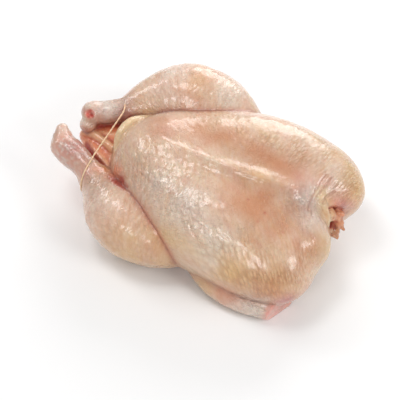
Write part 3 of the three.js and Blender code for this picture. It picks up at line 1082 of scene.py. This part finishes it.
def streak_group():
    tree, leave, along, across = flow_group("Streaks", 30.0, 8.0, "Mask")
    soft = soft_noise(tree, (-300, 0), join(tree, (-500, 0), along, across), 1.0, 5.0, 0.62)
    mask = spread(tree, (-100, 0), soft, 0.38, 0.64)
    tree.links.new(mask, leave.inputs["Mask"])
    return tree


WRINKLES = wrinkle_group()
STREAKS = streak_group()
print("groups", WRINKLES.name, "and", STREAKS.name)


# %% The goose bump group
def goose_bump_group():
    tree, leave, along, across = flow_group("Goose bumps", 6.0, 4.6, "Height")
    cells = add_node(
        tree,
        "ShaderNodeTexVoronoi",
        (-300, 0),
        voronoi_dimensions="2D",
        Vector=join(tree, (-500, 0), along, across),
        Scale=1.0,
        Randomness=0.85,
    )
    distance = cells.outputs["Distance"]
    dome = spread(tree, (-100, 0), distance, 0.6, 0.12, interpolation_type="SMOOTHSTEP")
    tree.links.new(dome, leave.inputs["Height"])
    return tree


def along_flow(tree, at, group, flow_place, angle, length, width):
    turn = math.radians(angle)
    return place_group(tree, at, group, Flow=flow_place, Angle=turn, Length=length, Width=width)


GOOSE_BUMPS = goose_bump_group()
print("group", GOOSE_BUMPS.name)

# %% [markdown]
# ## The skin material
# Colours are laid over each other in the order that they lie in the bird, from the cream skin with its
# streaks to the blood and painted shade in the creases; the pale layer holds painted sheen too. Light
# scatters under the surface, and a thin coat stands for the moisture, except down in the gaps that hold
# blood and painted shade.

# %% The colours and wrinkles of raw skin
LAYERS = [
    ("muscle", (198, 132, 88), 0.9),
    ("fat", (222, 182, 118), 0.8),
    ("pink", (226, 158, 146), 0.8),
    # Pale skin, partly painted sheen and painted reflection.
    ("pale_and_sheen", (238, 228, 216), 0.75),
    ("bruised", (182, 104, 104), 0.75),
    ("raw", (240, 130, 78), 0.92),
    ("neck_flesh", (230, 150, 100), 0.85),
    ("rim", (242, 212, 166), 0.85),
    ("cut_end", (238, 156, 144), 0.85),
    ("marrow", (226, 84, 70), 0.95),
    # Painted shade in the creases and hollows.
    ("crease_shade", (186, 104, 74), 0.6),
    # Blood, with painted shade in the gaps, pits and hollows.
    ("blood_and_shade", (168, 36, 20), 0.96),
]
STREAK_LAYERS = [
    (-35, 34.0, 11.0, (214, 152, 132), 0.35),
    (-20, 26.0, 9.0, (226, 200, 150), 0.4),
    (-60, 12.0, 4.0, (236, 222, 206), 0.35),
]
WRINKLE_LAYERS = [
    ("slack", -56, 9.0, 2.8, 1.2),
    ("crinkled", 15, 4.0, 2.2, 1.1),
    ("crinkled", -70, 7.0, 2.4, 1.2),
]
BUMP_ANGLE = -72
BUMP_LENGTH = 5.0
BUMP_WIDTH = 3.4
BUMP_STRENGTH = 1.7
BUMP_TINT_SHARE = 0.85
BETWEEN_BUMPS = (0.75, 0.58, 0.42, 1)
ON_BUMPS = (1.06, 1.04, 0.98, 1)
FINE_BLOTCHES = (0.86, 0.74, 0.68, 1)
RELIEF_METRES = 0.0006


def skin_colour(tree, flow_place):
    cream, blotches = srgb(226, 192, 164), srgb(212, 162, 130)
    colour = place_group(
        tree, (-3200, 300), MOTTLE, Colour=cream, Blotch_colour=blotches, Size=45.0, Amount=0.9
    )
    for n, (angle, length, width, over, strength) in enumerate(STREAK_LAYERS):
        x = -2900 + n * 300
        mask = along_flow(tree, (x, 700), STREAKS, flow_place, angle, length, width)
        share = maths(tree, (x + 150, 600), "MULTIPLY", mask, strength)
        colour = lay_over(tree, (x + 300, 500), colour, srgb(*over), share)
    for n, (area_name, over, strength) in enumerate(LAYERS):
        x = -2000 + n * 150
        share = maths(tree, (x, -100), "MULTIPLY", painted(tree, (x, -300), area_name), strength)
        colour = lay_over(tree, (x, 200), colour, srgb(*over), share)
    return colour


def skin_wrinkles(tree, flow_place):
    grain = soft_noise(tree, (-1300, -700), flow_place, 0.6, 4.0, 0.7)
    height = maths(tree, (-1100, -700), "MULTIPLY", grain, 1.5)
    for n, (area_name, angle, length, width, strength) in enumerate(WRINKLE_LAYERS):
        y = -900 - n * 250
        ridges = along_flow(tree, (-1300, y), WRINKLES, flow_place, angle, length, width)
        share = maths(tree, (-1100, y), "MULTIPLY", ridges, painted(tree, (-1300, y - 120), area_name))
        height = maths(tree, (-900, y), "MULTIPLY_ADD", share, strength, height)
    return height


def wetness(tree, flow_place):
    wet = soft_noise(tree, (-900, -500), flow_place, 0.05, 3.0)
    return spread(tree, (-600, -500), wet, 0.35, 0.7, To_Min=0.27, To_Max=0.45)


# %% Raw skin
def raw_skin(tree):
    flow_place = painted(tree, (-3200, -900), "flow", "Vector")
    colour = skin_colour(tree, flow_place)
    height = skin_wrinkles(tree, flow_place)

    bumps = along_flow(tree, (-1300, -1700), GOOSE_BUMPS, flow_place, BUMP_ANGLE, BUMP_LENGTH, BUMP_WIDTH)
    bumpy_skin = painted(tree, (-1300, -1820), "bumpy")
    share = maths(tree, (-1100, -1700), "MULTIPLY", bumps, bumpy_skin)
    height = maths(tree, (-900, -1700), "MULTIPLY_ADD", share, BUMP_STRENGTH, height)
    tint = lay_over(tree, (-500, 500), BETWEEN_BUMPS, ON_BUMPS, bumps)
    tint_share = maths(tree, (-1100, -1850), "MULTIPLY", bumpy_skin, BUMP_TINT_SHARE)
    colour = lay_over(tree, (-300, 400), colour, tint, tint_share, "MULTIPLY")
    darker = lay_over(tree, (-150, 700), colour, FINE_BLOTCHES, 1.0, "MULTIPLY")
    colour = place_group(
        tree, (0, 500), MOTTLE, Colour=colour, Blotch_colour=darker, Size=260.0, Amount=0.4
    )

    bump = add_node(
        tree, "ShaderNodeBump", (-300, -700), Strength=1.0, Distance=RELIEF_METRES, Height=height
    )
    # No coat where blood and painted shade lie in the gaps.
    coat = maths(tree, (-300, -1000), "MULTIPLY_ADD", painted(tree, (-600, -1000), "blood_and_shade"), -0.9, 1.0)
    return {
        "Base Color": colour,
        "Normal": bump.outputs["Normal"],
        "Roughness": wetness(tree, flow_place),
        "Subsurface Weight": 0.2,
        "Subsurface Radius": (1.0, 0.45, 0.28),
        "Subsurface Scale": 0.003,
        "Coat Weight": coat,
        "Coat Roughness": 0.2,
    }


chicken.data.materials.append(new_material("raw_skin", raw_skin))
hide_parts("chicken")
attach(chicken, "root")
print("material", chicken.data.materials[0].name, "on", chicken.name)

# %% [markdown]
# ## The elastic loop
# The real one is a thin tan cord with two small knots. Its mesh follows the pressed route, a little
# thicker at each knot, and twists as it goes.

# %% The twisted cord
TIE_RADIUS = 0.7
TIE_FLAT = 0.3
TIE_SIDES = 8
TIE_TWIST_MM = 9.0
TIE_STEPS = 4
KNOTS = np.array([[-111.5, 12.0, 73.5], [-115.5, 0.0, 66.5]])
KNOT_SWELL = 0.8
KNOT_LENGTH = 1.3


def cord_mesh(name, route, radius):
    tangent = np.roll(route, -1, 0) - np.roll(route, 1, 0)
    tangent /= np.linalg.norm(tangent, axis=1, keepdims=True)
    first = np.cross(tangent, (1.0, 0.0, 0.0))
    first /= np.linalg.norm(first, axis=1, keepdims=True)
    second = np.cross(tangent, first)
    along = np.concatenate([[0], np.cumsum(np.linalg.norm(np.diff(route, axis=0), axis=1))])
    turns = round(along[-1] / TIE_TWIST_MM)
    twist = along / along[-1] * turns * 2 * math.pi
    from_knot = np.linalg.norm(route[:, None] - KNOTS, axis=2).min(1)
    radius = radius * (1 + KNOT_SWELL * np.exp(-((from_knot / KNOT_LENGTH) ** 2)))
    around = np.arange(TIE_SIDES)[:, None] / TIE_SIDES * 2 * math.pi
    reach = radius * (1 + TIE_FLAT * np.cos(2 * (around + twist)))
    outwards = np.cos(around)[..., None] * first + np.sin(around)[..., None] * second
    points = route + outwards * reach[..., None]
    number = np.arange(reach.size).reshape(reach.shape)
    onwards = np.roll(number, -1, axis=1)
    faces = np.stack([number, onwards, np.roll(onwards, -1, axis=0), np.roll(number, -1, axis=0)], -1)
    return new_mesh(name, points.reshape(-1, 3), faces.reshape(-1, 4).tolist())


closed_route = np.vstack([tie_route[-1:], tie_route, tie_route[:2]])
tie = cord_mesh("elastic_loop", curve_through(closed_route, TIE_STEPS), TIE_RADIUS)


def elastic_cord(tree):
    tan, brown = srgb(240, 208, 172), srgb(216, 166, 124)
    return {
        "Base Color": place_group(tree, (-500, 200), MOTTLE, Colour=tan, Blotch_colour=brown, Size=500.0),
        "Roughness": 0.5,
        "Subsurface Weight": 0.1,
        "Subsurface Scale": 0.001,
    }


tie.data.materials.append(new_material("elastic_cord", elastic_cord))
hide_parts("leg_tie")
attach(tie, "root")
print("elastic_loop has", len(tie.data.polygons), "faces")

# %% [markdown]
# ## Floor, light and camera
# A plain pale floor under five soft lights: a big one behind the bird, which makes the far crests shine, one
# overhead, one at each side and one in front. A white world all round keeps the shadows open.

# %% Floor
FLOOR_SIDE = 6.0


def pale_floor(tree):
    return {"Base Color": (0.9, 0.9, 0.9, 1), "Roughness": 0.7, "Specular IOR Level": 0.2}


bpy.ops.mesh.primitive_plane_add(size=FLOOR_SIDE, location=(0, 0, 0))
floor = bpy.context.object
floor.name = "floor"
floor.data.materials.append(new_material("pale_floor", pale_floor))
print("floor side in m:", FLOOR_SIDE)

# %% Lights
AIM = Vector((0, 0, 0.05))
LIGHTS = [
    ("top", (-0.35, -0.07, 1.25), 0.42, 3.3),
    ("left", (-0.98, 0.1, 0.88), 0.42, 3.0),
    ("back", (-0.15, 1.2, 0.65), 0.95, 10),
    ("front", (0.0, -1.1, 0.78), 0.35, 2.6),
    ("right", (1.1, -0.2, 0.8), 0.6, 7),
]
WORLD_STRENGTH = 0.4


def soft_light(name, at, size, power):
    light = bpy.data.lights.new(name, "AREA")
    light.shape = "DISK"
    light.size = size
    light.energy = power
    lamp = bpy.data.objects.new(name, light)
    lamp.location = at
    lamp.rotation_euler = (AIM - lamp.location).to_track_quat("-Z", "Y").to_euler()
    bpy.context.scene.collection.objects.link(lamp)


for light_values in LIGHTS:
    soft_light(*light_values)
world = bpy.data.worlds.new("studio")
bpy.context.scene.world = world
world.use_nodes = True
background = world.node_tree.nodes["Background"]
background.inputs["Color"].default_value = (1, 1, 1, 1)
background.inputs["Strength"].default_value = WORLD_STRENGTH
bpy.context.scene.view_settings.view_transform = "Standard"
print("lights:", [name for name, *_ in LIGHTS])

# %% Camera
camera_data = bpy.data.cameras.new("camera")
camera_data.sensor_width = SENSOR_MM
camera_data.lens = FOCAL_PIXELS / PICTURE_SIDE * SENSOR_MM
camera = bpy.data.objects.new("camera", camera_data)
stand = to_frame(LOOK_AT + camera_back * camera_distance)
rows = [[camera_right[i], camera_up[i], camera_back[i], stand[i]] for i in range(3)]
camera.matrix_world = Matrix([*rows, [0, 0, 0, 1]])
bpy.context.scene.collection.objects.link(camera)
bpy.context.scene.camera = camera
print("lens in mm:", camera_data.lens)
